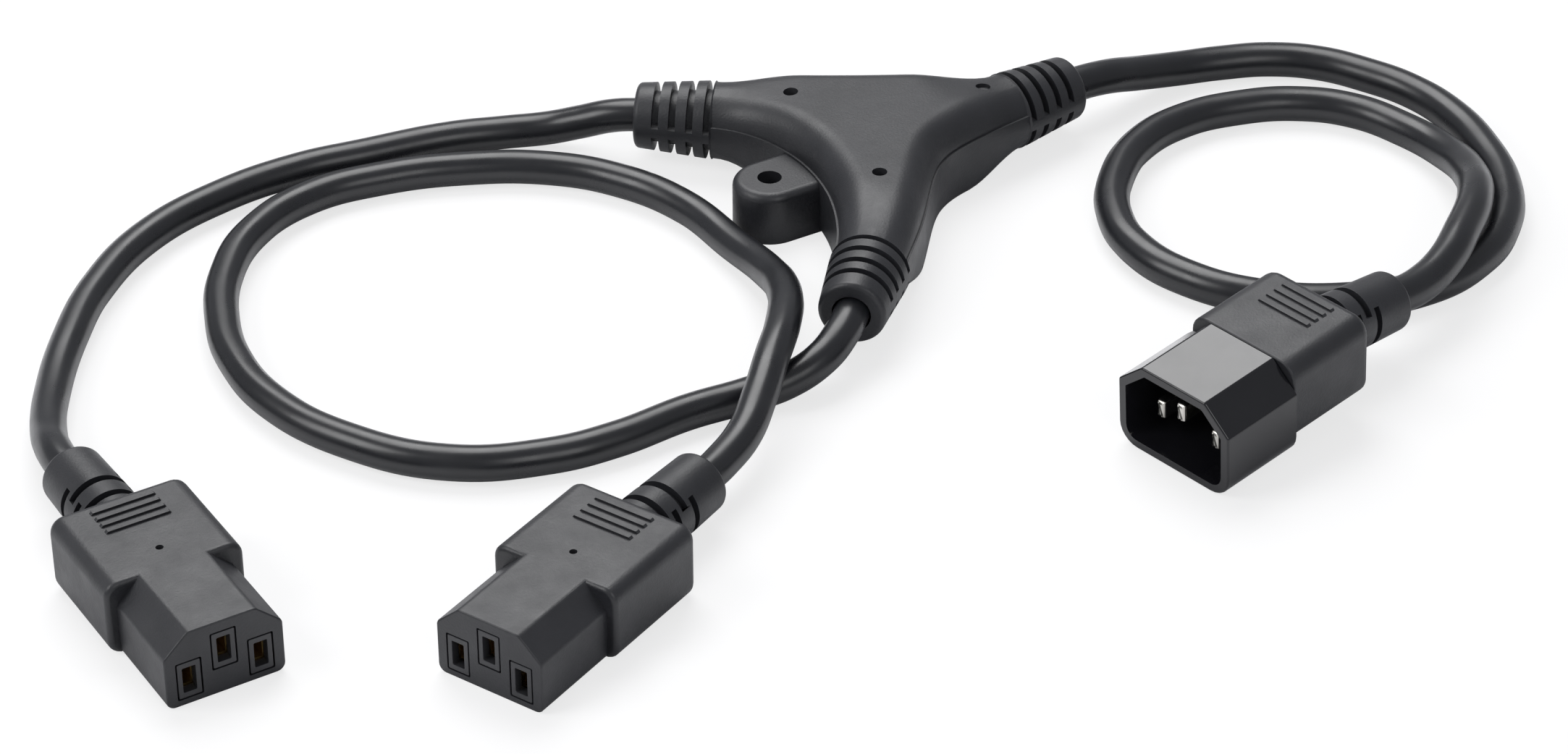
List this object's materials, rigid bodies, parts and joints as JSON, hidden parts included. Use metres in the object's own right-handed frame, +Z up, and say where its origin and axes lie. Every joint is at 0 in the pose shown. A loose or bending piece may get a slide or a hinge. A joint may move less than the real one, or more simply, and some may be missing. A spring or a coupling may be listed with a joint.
{
  "type": "power cord splitter",
  "caption": "Mains power cord splitter: a moulded Y housing with a screw ear joins an inlet cord and plug to outlet cords with socket connectors, all in black.",
  "frame": {"origin": "under the middle of the Y housing's bounding box, on the surface that the splitter lies on; cords, connectors and plug aren't counted", "axes": "+Z up; the inlet cord leaves the housing towards +X, an outlet cord leaves towards -X and +Y and another towards -X and -Y, and the housing is longest along Y"},
  "size_m": [0.3221, 0.1954, 0.0236],
  "materials": {
    "moulded_black_rubber": "fine spark-eroded matte moulded PVC, near black",
    "cord_jacket": "smooth satin extruded PVC jacket, near black",
    "gloss_black_plastic": "polished hard moulded plastic, black",
    "carrier_plastic": "smooth hard moulded plastic, dark grey, behind the mating face",
    "nickel_plated_blade": "bright nickel plating on a solid blade",
    "contact_brass": "plain rolled and folded sheet",
    "core_brown": "brown core insulation",
    "core_blue": "blue core insulation",
    "core_green_yellow": "green and yellow core insulation"
  },
  "bodies": {
    "root": {"splitter_housing": "moulded_black_rubber", "splice_line": "contact_brass", "splice_neutral": "contact_brass", "splice_earth": "contact_brass", "inlet_core_line": "core_brown", "inlet_core_neutral": "core_blue", "inlet_core_earth": "core_green_yellow", "left_core_line": "core_brown", "left_core_neutral": "core_blue", "left_core_earth": "core_green_yellow", "front_core_line": "core_brown", "front_core_neutral": "core_blue", "front_core_earth": "core_green_yellow", "left_socket_overmould": "moulded_black_rubber", "left_socket_contact_carrier": "carrier_plastic", "left_socket_contact_line": "contact_brass", "left_socket_contact_neutral": "contact_brass", "left_socket_contact_earth": "contact_brass", "left_socket_core_line": "core_brown", "left_socket_core_neutral": "core_blue", "left_socket_core_earth": "core_green_yellow", "right_socket_overmould": "moulded_black_rubber", "right_socket_contact_carrier": "carrier_plastic", "right_socket_contact_line": "contact_brass", "right_socket_contact_neutral": "contact_brass", "right_socket_contact_earth": "contact_brass", "right_socket_core_line": "core_brown", "right_socket_core_neutral": "core_blue", "right_socket_core_earth": "core_green_yellow", "plug_overmould": "moulded_black_rubber", "plug_shroud": "gloss_black_plastic", "plug_blade_line": "nickel_plated_blade", "plug_blade_neutral": "nickel_plated_blade", "plug_blade_earth": "nickel_plated_blade", "plug_core_line": "core_brown", "plug_core_neutral": "core_blue", "plug_core_earth": "core_green_yellow", "left_outlet_cord": "cord_jacket", "right_outlet_cord": "cord_jacket", "inlet_cord": "cord_jacket"}
  },
  "joints": []
}
